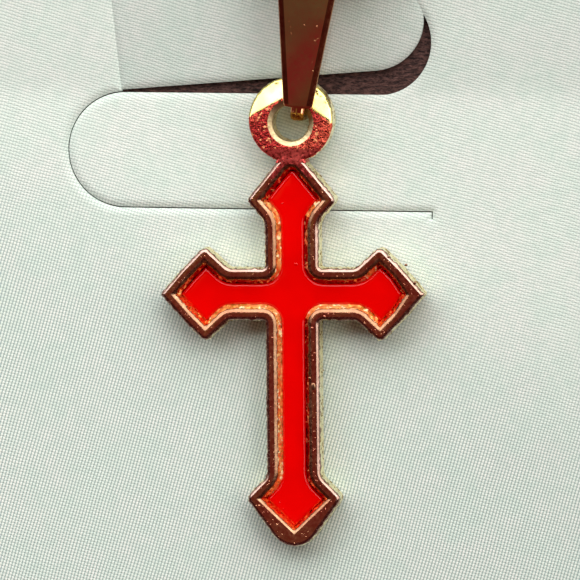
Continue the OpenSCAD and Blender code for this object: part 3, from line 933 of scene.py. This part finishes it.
def strip_width(v, z):
    """Width of the strip: it widens to the loop and has a round shoulder at its front prong."""
    if v < LEG_START:
        return PRONG_W
    top = LOOP_Y + LOOP_R
    if z < LOOP_R:
        if v < LOOP_Y:
            return PRONG_W + (BACK_LEG_W - PRONG_W) * (v - LEG_START) / (LOOP_Y - LEG_START)
        return BACK_LEG_W + (LOOP_W - BACK_LEG_W) * (v - LOOP_Y) / (top - LOOP_Y)
    full = LEG_END_W + (LOOP_W - LEG_END_W) * (v - LEG_START) / (top - LEG_START)
    t = min((v - LEG_START) / LEG_CORNER, 1)
    if t == 1:
        return full
    shoulder = sqrt(max(0, 1 - (1 - t) ** 2))
    return PRONG_W + (full - PRONG_W) * (LEG_END_SHARE + (1 - LEG_END_SHARE) * shoulder)


SECTION_STEPS = 4
EDGE_RUN, EDGE_DROP = 0.36, 0.15
# The strip's finishes, in the order of their materials
STRIP_FLAT, STRIP_EDGE, PRONG = range(3)


def rounded_section(width):
    """Outline of the strip's cross-section with long rounded edges."""
    out = []
    for side, face, start in CORNERS:
        for a in np.radians(np.linspace(start, start + 90, SECTION_STEPS + 1)):
            x = side * (width / 2 - EDGE_RUN) + EDGE_RUN * cos(a)
            out.append((x, face * (STRIP_T / 2 - EDGE_DROP) + EDGE_DROP * sin(a)))
    return out


# The prong and the strip's rounded edges take darker copies of the strip's gold: painted shade
def station_finish(v, count):
    if v <= BEND_R:
        return [PRONG] * count
    if v <= LEG_START + 0.2:
        return [STRIP_FLAT] * count
    row = SECTION_STEPS + 1
    return [STRIP_EDGE if j % row < SECTION_STEPS else STRIP_FLAT for j in range(count)]


def bail_piece(materials):
    line = strip_path()
    place = (
        Matrix.Translation((*BAIL_XY, CARD_T + SEAT_GAP))
        @ Matrix.Rotation(radians(-BAIL_LEAN), 4, "Z")
    )
    points, finish = [], []
    for k, p in enumerate(line):
        before, after = line[max(k - 1, 0)], line[min(k + 1, len(line) - 1)]
        d = unit(after - before)
        out = xy(-d[1], d[0])
        section = rounded_section(strip_width(p[0], p[1]))
        points += [(w, *(p + out * h)) for w, h in section]
        if k < len(line) - 1:
            finish += station_finish(p[0], len(section))
    faces = stack_faces(len(line), len(section))
    finish += [STRIP_FLAT, STRIP_FLAT]
    obj = make_mesh("bail_strip", placed(place, points), faces, materials, finish, smooth_angle=50)
    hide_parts("bail")


# The chain: the same path as the solids, with round wire

BEND_ANGLE = radians(90 - SPREAD_ANGLE)
HEAD_SIN, HEAD_COS = sin(BEND_ANGLE), cos(BEND_ANGLE)
BACK_ANGLE = pi - BEND_ANGLE
STRAIGHT_LENGTH = (
    NECKLACE_LENGTH / 2 - CLASP_STRAIGHT - BAIL_BEND_R * pi + CLASP_STRAIGHT * BACK_ANGLE / HEAD_SIN
) / (1 + BACK_ANGLE * HEAD_COS / HEAD_SIN)
BACK_BEND_R = BAIL_BEND_R + STRAIGHT_LENGTH * HEAD_COS / HEAD_SIN - CLASP_STRAIGHT / HEAD_SIN
LEAN = radians(BAIL_LEAN)
CHAIN_IN_BAIL = xy(BAIL_XY[0] + CHAIN_Y * sin(LEAN), BAIL_XY[1] + CHAIN_Y * cos(LEAN))
CHAIN_REST_Z = ((LINK_W - WIRE_D) / 2 + WIRE_D) * sin(radians(LINK_ROLL)) + SEAT_GAP
BAIL_LIFT = STRIP_T + 0.2
FALL_START, FALL_LENGTH = 0.6, 15
BAIL_FLAT, BAIL_FALL = 2.4, 7
END_RING_Z = RING_MAJOR * sin(radians(LINK_ROLL)) + RING_WIRE_R + SEAT_GAP
CLASP_MID_Z = CLASP_Z + CLASP_T / 2


def smooth(x):
    t = min(max(x, 0), 1)
    return t * t * (3 - 2 * t)


def side_point(s):
    """Plan of one half of the chain: round the bail, straight, round the back, straight."""
    s1 = BAIL_BEND_R * BEND_ANGLE
    s2 = s1 + STRAIGHT_LENGTH
    s3 = NECKLACE_LENGTH / 2 - CLASP_STRAIGHT
    if s < s1:
        a = s / BAIL_BEND_R
        return xy(BAIL_BEND_R * sin(a), BAIL_BEND_R * (1 - cos(a)))
    corner = BAIL_BEND_R * xy(HEAD_SIN, 1 - HEAD_COS)
    if s < s2:
        return corner + (s - s1) * xy(HEAD_COS, HEAD_SIN)
    far_corner = corner + STRAIGHT_LENGTH * xy(HEAD_COS, HEAD_SIN)
    a = BEND_ANGLE + (min(s, s3) - s2) / BACK_BEND_R
    on_back = far_corner + BACK_BEND_R * xy(sin(a) - HEAD_SIN, HEAD_COS - cos(a))
    return on_back - xy(max(s - s3, 0), 0)


def path_point(s):
    """Point of the chain: on the floor, up over the card and through the bail."""
    side = side_point(abs(s))
    p = CHAIN_IN_BAIL + turned(xy(copysign(side[0], s), side[1]), -BAIL_LEAN)
    t = min(max((p[1] - CARD_H / 2 - FALL_START) / FALL_LENGTH, 0), 1)
    on_card = (1 - t) ** 3 * (1 + 3 * t)
    in_bail = 1 - smooth((abs(s) - BAIL_FLAT) / BAIL_FALL)
    end_z = END_RING_Z if s < 0 else CLASP_MID_Z
    at_end = smooth((abs(s) - NECKLACE_LENGTH / 2 + 2 * CLASP_STRAIGHT) / CLASP_STRAIGHT)
    z = CHAIN_REST_Z + on_card * CARD_T + in_bail * BAIL_LIFT + at_end * (end_z - CHAIN_REST_Z)
    return Vector((p[0], p[1], z))


CLASP_END_S = NECKLACE_LENGTH / 2 - CLASP_GAP
RING_END_S = -(NECKLACE_LENGTH / 2 - RING_GAP)
LINK_COUNT = ceil((CLASP_END_S - RING_END_S) / LONGEST_PITCH) + 1
LINK_PITCH = (CLASP_END_S - RING_END_S) / (LINK_COUNT - 1)


def tube(line, r, sides):
    """Round wire along a flat closed line of points."""
    points = []
    count = len(line)
    for k in range(count):
        d = (line[(k + 1) % count] - line[k - 1]).normalized()
        out = Vector((d.y, -d.x, 0))
        for j in range(sides):
            a = 2 * pi * j / sides
            points.append(line[k] + out * r * cos(a) + Vector((0, 0, r * sin(a))))
    return points, band_faces(count, sides, joined=True)


LINK_END_STEPS, WIRE_SIDES = 9, 8


def link_line():
    r = (LINK_W - WIRE_D) / 2
    x = (LINK_LENGTH - LINK_W) / 2
    line = arc((x, 0), r, -90, 90, LINK_END_STEPS) + arc((-x, 0), r, 90, 270, LINK_END_STEPS)
    return [Vector((p[0], p[1], 0)) for p in line]


def chain_piece(material):
    shape, shape_faces = tube(link_line(), WIRE_D / 2, WIRE_SIDES)
    points, faces = [], []
    for k in range(LINK_COUNT):
        s = RING_END_S + k * LINK_PITCH
        d = (path_point(s + 0.05) - path_point(s - 0.05)).normalized()
        turn = (
            Matrix.Translation(path_point(s))
            @ Matrix.Rotation(atan2(d.y, d.x), 4, "Z")
            @ Matrix.Rotation(-asin(d.z), 4, "Y")
            @ Matrix.Rotation(radians(LINK_ROLL if k % 2 == 0 else -LINK_ROLL), 4, "X")
        )
        first = len(points)
        points += [turn @ p for p in shape]
        faces += [tuple(first + i for i in f) for f in shape_faces]
    obj = make_mesh("cable_chain", points, faces, [material], smooth_angle=80)
    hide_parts("chain")


# The card

def in_cut(p):
    """A point of the cut after the whole cut's small turn on the card."""
    centre = xy(0, CUT_Y)
    return turned(p - centre, CUT_TURN) + centre


SHEET_SPACING = 1.2
SHEET_ROWS = (0.07, 0.16, 0.3, 0.5)
BORDER_STEP = 1.0
ROLL_REACH, ROLL_DEPTH = 0.5, 0.16
BORDER_ROLL_REACH, BORDER_ROLL_DEPTH = 0.3, 0.15


def rows_beside(line):
    """Rows of points on both sides of a closed line."""
    along = np.roll(line, -1, axis=0) - np.roll(line, 1, axis=0)
    normal = np.stack([along[:, 1], -along[:, 0]], axis=1)
    normal /= np.maximum(norm(normal, axis=1), 1e-9)[:, None]
    return [line + side * normal * row for side in (-1, 1) for row in SHEET_ROWS]


def sheet_from(name, outer, holes, top_of, material):
    """A sheet with rolled edges: its top follows top_of(points), its underside is flat."""
    loops = [outer] + holes
    extra = [row for loop in loops for row in rows_beside(np.asarray(loop))]
    extra = np.vstack(extra + [grid_points(outer, SHEET_SPACING, 0.1)])
    keep = inside(extra, outer)
    for hole in holes:
        keep &= ~inside(extra, hole)
    nearest = np.min([distance_to(extra, closed_line(loop)) for loop in loops], axis=0)
    extra = extra[keep & (nearest > min(SHEET_ROWS) * 0.8)]
    verts, tris = filled(loops, extra)
    count = len(verts)
    points = [(v[0], v[1], z) for v, z in zip(verts, top_of(verts))]
    points += [(v[0], v[1], BACKING_T) for v in verts]
    faces = [tuple(t) for t in tris] + [tuple(count + i for i in t[::-1]) for t in tris]
    first = 0
    for loop in loops:
        n = len(loop)
        for k in range(n):
            a, b = first + k, first + (k + 1) % n
            faces.append((a, b, count + b, count + a))
        first += n
    return make_mesh(name, points, faces, [material], smooth_angle=50)


def card_outline():
    x, y, r = CARD_W / 2, CARD_H / 2, CARD_R
    corners = []
    for cx, cy, start in CORNERS:
        corners += arc((cx * (x - r), cy * (y - r)), r, start, start + 90, 6)
    return resampled(corners, BORDER_STEP, closed=True)


def rolled(distance, reach, depth):
    """How far a sheet's top is rolled down at a distance from its edge."""
    return depth * np.clip(1 - distance / reach, 0, 1) ** 2


SLIT_HALF, TONGUE_CLEAR = 0.035, 0.07
CUT_STEP = 0.12


def cut_outline():
    """The S-shaped cut: a slit round the lower tongue, and the upper tongue's hole."""
    low = CUT_Y - 2 * LOWER_TONGUE_R
    hole_top = CUT_Y + 2 * UPPER_TONGUE_R
    lower_centre = (LOWER_END_X, CUT_Y - LOWER_TONGUE_R)
    upper_centre = (UPPER_END_X, CUT_Y + UPPER_TONGUE_R)
    inner_r, outer_r = LOWER_TONGUE_R - SLIT_HALF, LOWER_TONGUE_R + SLIT_HALF
    right, left = CUT_REACH + SLIT_HALF, CUT_REACH - SLIT_HALF
    hole = [xy(right, low - HOOK), xy(left, low - HOOK), xy(left, low - SLIT_HALF)]
    hole += arc(lower_centre, outer_r, 270, 96, 44)
    hole += [xy(CREASE_X, CUT_Y + 0.02), xy(CREASE_X - 0.7, hole_top)]
    hole += arc(upper_centre, UPPER_TONGUE_R, 90, -84, 40)
    hole += arc(lower_centre, inner_r, 90, 270, 44)
    hole += [xy(right, low + SLIT_HALF)]
    return resampled([in_cut(p) for p in hole], CUT_STEP, closed=True)


def tongue_outline():
    """The upper tongue, turned a little in its hole."""
    root = np.array(UPPER_ROOT)
    r = UPPER_TONGUE_R - TONGUE_CLEAR
    shape = [xy(CREASE_X - 0.3, -r + root[1])]
    shape += arc((UPPER_TONGUE_END_X, root[1]), r, -90, 90, 36)
    shape += [xy(CREASE_X - 0.6, r + root[1])]
    turned_shape = [in_cut(turned(p - root, TONGUE_TURN) + root) for p in shape]
    return resampled(turned_shape, CUT_STEP * 1.5, closed=True)


def card_pieces(material, tongue_material):
    """The woven face with its cut, and the upper tongue as a sheet of its own."""
    border, hole, tongue = card_outline(), cut_outline(), tongue_outline()

    def base_top(points):
        at_cut = distance_to(points, closed_line(hole))
        at_border = distance_to(points, closed_line(border))
        lowered = CARD_T - rolled(at_cut, ROLL_REACH, ROLL_DEPTH)
        return lowered - rolled(at_border, BORDER_ROLL_REACH, BORDER_ROLL_DEPTH)

    def tongue_top(points):
        return CARD_T - rolled(distance_to(points, closed_line(tongue)), ROLL_REACH, ROLL_DEPTH)

    base = sheet_from("woven_base", border, [hole], base_top, material)
    upper = sheet_from("woven_tongue", tongue, [], tongue_top, tongue_material)
    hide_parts("card_face")


# Scene

FLOOR_HALF = 1.5


def floor():
    n = Nodes("pale_floor")
    colour = n.mix(n.noise(0.05, 3), (0.74, 0.74, 0.72), (0.8, 0.8, 0.78))
    mesh = bpy.data.meshes.new("floor")
    corners = [(x * FLOOR_HALF, y * FLOOR_HALF, 0) for x, y, _ in CORNERS]
    mesh.from_pydata(corners, [], [(0, 1, 2, 3)])
    mesh.materials.append(n.finish(Base_Color=colour, Roughness=0.8))
    new_object("floor", mesh)


def world():
    """Dim red surroundings, which the polished gold reflects."""
    studio = bpy.data.worlds.new("studio")
    bpy.context.scene.world = studio
    studio.use_nodes = True
    back = studio.node_tree.nodes["Background"]
    back.inputs["Color"].default_value = (1.0, 0.2, 0.17, 1)
    back.inputs["Strength"].default_value = 0.1


def area_light(name, place, target, size, power, colour):
    data = bpy.data.lights.new(name, "AREA")
    data.shape = "RECTANGLE"
    data.size, data.size_y = size
    data.energy = power
    data.color = colour
    obj = new_object(name, data)
    obj.location = place
    obj.rotation_mode = "QUATERNION"
    obj.rotation_quaternion = (Vector(target) - Vector(place)).to_track_quat("-Z", "Y")


# Soft lights in metres and watts, aimed at the card's middle: name, place, size, power, colour
SOFT_LIGHTS = [
    ("window", (-0.04, 0.30, 0.26), (0.77, 0.36), 3.32, (1, 0.98, 0.96)),
    ("right_side", (0.28, 0.08, 0.24), (0.32, 0.3), 0.8, (1, 0.97, 0.9)),
    ("left_side", (-0.30, 0.1, 0.24), (0.12, 0.2), 0.12, (1, 1, 1)),
]
# Dim cards of light that the gold reflects, aimed straight down, in the same columns
REFLECTION_CARDS = [
    ("overhead", (-0.0329, 0.0022, 0.155), (0.0142, 0.0157), 1.6e-4, (0.6, 1.0, 0.3)),
    ("bail_card", (-0.0437, -0.0655, 0.25), (0.12, 0.014), 3.3e-4, (0, 1, 0.65)),
    ("bail_glow", (-0.0437, -0.0750, 0.25), (0.12, 0.0044), 1.1e-4, (1, 0, 0.25)),
    ("bail_low", (-0.0437, -0.0802, 0.25), (0.12, 0.0055), 9e-5, (0, 1, 0.6)),
]


def lights():
    for name, place, size, power, colour in SOFT_LIGHTS:
        area_light(name, place, (0, 0, 0), size, power, colour)
    for name, place, size, power, colour in REFLECTION_CARDS:
        area_light(name, place, (*place[:2], 0), size, power, colour)


# The camera aims at the cross's face; its distance and the width of the picture are in metres
AIM_XY = (2.485, 0.64)
FROM_RIGHT, FROM_TOP = 8.5, 3
CAMERA_DISTANCE, PICTURE_W = 0.6, 0.03515
SENSOR_W = 36


def camera():
    aim = Vector((*AIM_XY, PENDANT_LIFT + CROSS_T)) * MM
    from_right, from_top = radians(FROM_RIGHT), radians(FROM_TOP)
    back = Vector((sin(from_right), sin(from_top), cos(from_right)))
    data = bpy.data.cameras.new("camera")
    data.sensor_width = SENSOR_W
    data.lens = SENSOR_W * CAMERA_DISTANCE / PICTURE_W
    data.clip_start = 0.01
    obj = new_object("camera", data)
    obj.location = aim + back * CAMERA_DISTANCE
    obj.rotation_mode = "QUATERNION"
    right = (-back).cross(Vector((0, 1, 0))).normalized()
    up = right.cross(-back)
    obj.rotation_quaternion = Matrix((right, up, back)).transposed().to_quaternion()
    bpy.context.scene.camera = obj


# Golds: name, colour, warmer colour, roughness, grains per mm and their depth, specks, matt grains
# The casting's golds, in the order of its finishes
CASTING_GOLDS = [
    # rim: partly the plating's gold, partly a red tint that is painted reflection of the red surroundings
    ("rim", (0.98, 0.5, 0.28), (0.95, 0.34, 0.22), 0.18, 5, 0.006, (0.02, 7, 0.7)),
    # wall: pale gold, partly the plating's gold and partly painted highlight that brightens the walls'
    # reflection of the card
    ("wall", (1, 0.94, 0.68), (1, 0.9, 0.58), 0.38, 4, 0.05, None,
     [(2.6, 0.56, (0.34, 0.22, 0.07))]),
    # recess and lobe: lit copies of the recess gold, painted light on walls that face up or to the right
    ("recess", (1, 0.72, 0.28), (1, 0.52, 0.14), 0.45, 7, 0.03, None,
     [(3.4, 0.56, (0.62, 0.25, 0.04)), (2.3, 0.58, (1, 0.95, 0.65))]),
    ("lobe", (0.98, 0.34, 0.08), (0.95, 0.2, 0.04), 0.25, 5, 0.006),
    # shaded: a dark copy, painted shade on the recess walls that face away; its pale grains are painted
    # glints
    ("shaded", (0.4, 0.1, 0.07), (0.28, 0.06, 0.05), 0.14, 5, 0.003, None,
     [(2.4, 0.56, (1, 0.8, 0.4))]),
    # neck and ring_rough: red golds, painted reflection of the red surroundings
    ("neck", (0.74, 0.12, 0.1), (0.7, 0.09, 0.085), 0.33, 5, 0.01, (0.02, 5, 0.68)),
    ("ring_rough", (0.8, 0.13, 0.08), (0.55, 0.05, 0.045), 0.2, 4, 0.07, (0.06, 3.6, 0.55),
     [(2.8, 0.6, (1, 0.42, 0.2))]),
    ("ring_smooth", (0.8, 0.7, 0.3), (0.76, 0.64, 0.2), 0.2, 3, 0.001),
    ("lip", (0.52, 0.44, 0.26), (0.48, 0.39, 0.22), 0.45, 4, 0.002),
    ("edge", (0.34, 0.2, 0.12), (0.3, 0.15, 0.085), 0.28, 5, 0.006),
    ("bevel", (0.4, 0.27, 0.23), (0.36, 0.23, 0.18), 0.22, 5, 0.006),
]
# The strip's golds, in the order of its finishes
STRIP_GOLDS = [
    ("strip", (0.95, 0.55, 0.27), (0.92, 0.42, 0.22), 0.06, 5, 0.0003, (0.01, 7, 0.73)),
    # strip_edge: darker gold on the strip's rounded edges, painted shade for the dark they reflect
    ("strip_edge", (0.42, 0.2, 0.1), (0.3, 0.12, 0.07), 0.18, 5, 0.003),
    # prong: a darker amber copy of the strip's gold, painted shade down in the ring's hole
    ("prong", (0.62, 0.36, 0.06), (0.5, 0.24, 0.03), 0.22, 5, 0.06),
]
WIRE_GOLD = ("wire", (0.95, 0.66, 0.3), (0.93, 0.6, 0.26), 0.15, 5, 0.003)


def repaint(node, material):
    materials = frame["nodes"][node].data.materials
    materials.clear()
    materials.append(material)


wire_gold = gold(*WIRE_GOLD)
cross_piece([gold(*row) for row in CASTING_GOLDS])
enamel_piece(enamel_material())
bail_piece([gold(*row) for row in STRIP_GOLDS])
chain_piece(wire_gold)
# The upper tongue's weave is 0.87 as bright: painted shade, the tongue lit less than the card around it
card_pieces(weave_material("woven_face", 1.0), weave_material("woven_tongue_painted_shade", 0.87))
repaint("card_backing", fibre_material())
repaint("clasp", wire_gold)
repaint("end_ring", wire_gold)
floor()
world()
lights()
camera()
bpy.context.scene.view_settings.view_transform = "Standard"
